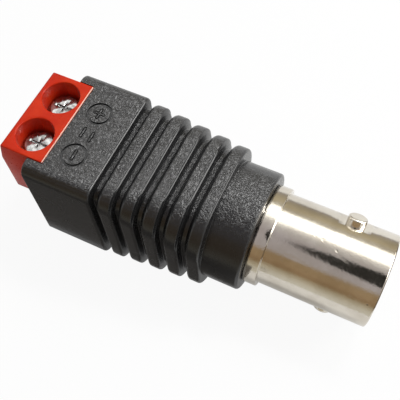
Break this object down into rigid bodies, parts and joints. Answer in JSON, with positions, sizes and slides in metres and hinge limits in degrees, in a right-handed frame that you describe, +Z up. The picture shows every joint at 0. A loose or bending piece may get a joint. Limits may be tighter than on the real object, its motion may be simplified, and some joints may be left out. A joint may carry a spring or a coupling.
{
  "type": "bnc screw terminal adapter",
  "caption": "Ribbed plastic adapter with a bayonet coaxial jack at one end and a two-pole screw terminal at the other.",
  "frame": {"origin": "bottom centre of the bounding box, on the surface the adapter rests on", "axes": "+X along the jack's axis toward its mouth, +Y toward the plus pole, +Z up toward the screw heads"},
  "size_m": [0.0398, 0.0136, 0.0136],
  "materials": {
    "black_plastic": "spark-textured black ABS",
    "red_plastic": "smooth orange-red moulding",
    "zinc_plate": "rough bright zinc plate on steel",
    "tin_plate": "satin tin plate on brass",
    "nickel_plate": "bright nickel plate on turned brass",
    "gilt": "thin gilt flash on brass",
    "insulator": "white PTFE",
    "red_sleeve": "red PVC sleeve",
    "black_sleeve": "black PVC sleeve"
  },
  "bodies": {
    "adapter": {"housing": "black_plastic", "terminal_body": "red_plastic", "clamp_box_minus": "tin_plate", "clamp_box_plus": "tin_plate", "contact_strip_minus": "tin_plate", "contact_strip_plus": "tin_plate", "jack_shell": "nickel_plate", "jack_insulator": "insulator", "centre_contact": "gilt", "retaining_bush": "nickel_plate", "ground_tag": "tin_plate", "lead_core_minus": "tin_plate", "lead_core_plus": "tin_plate", "lead_sleeve_minus": "black_sleeve", "lead_sleeve_plus": "red_sleeve"},
    "plate_minus": {"pressure_plate_minus": "zinc_plate"},
    "screw_minus": {"terminal_screw_minus": "zinc_plate"},
    "plate_plus": {"pressure_plate_plus": "zinc_plate"},
    "screw_plus": {"terminal_screw_plus": "zinc_plate"}
  },
  "joints": [
    {"name": "plate_minus_slide", "type": "slide", "parent": "adapter", "child": "plate_minus", "axis": [0, 0, -1], "range_m": [-0.00075, 0.001]},
    {"name": "screw_minus_turn", "type": "hinge", "parent": "plate_minus", "child": "screw_minus", "pos_m": [-0.01673, -0.0025, 0.0105], "axis": [0, 0, -1], "range_deg": [-620, 830]},
    {"name": "plate_plus_slide", "type": "slide", "parent": "adapter", "child": "plate_plus", "axis": [0, 0, -1], "range_m": [-0.00075, 0.001]},
    {"name": "screw_plus_turn", "type": "hinge", "parent": "plate_plus", "child": "screw_plus", "pos_m": [-0.01673, 0.0025, 0.0105], "axis": [0, 0, -1], "range_deg": [-620, 830]}
  ],
  "couplings": [
    {"joint": "screw_minus_turn", "follows": "plate_minus_slide", "rad_per_m": 13963},
    {"joint": "screw_plus_turn", "follows": "plate_plus_slide", "rad_per_m": 13963}
  ]
}
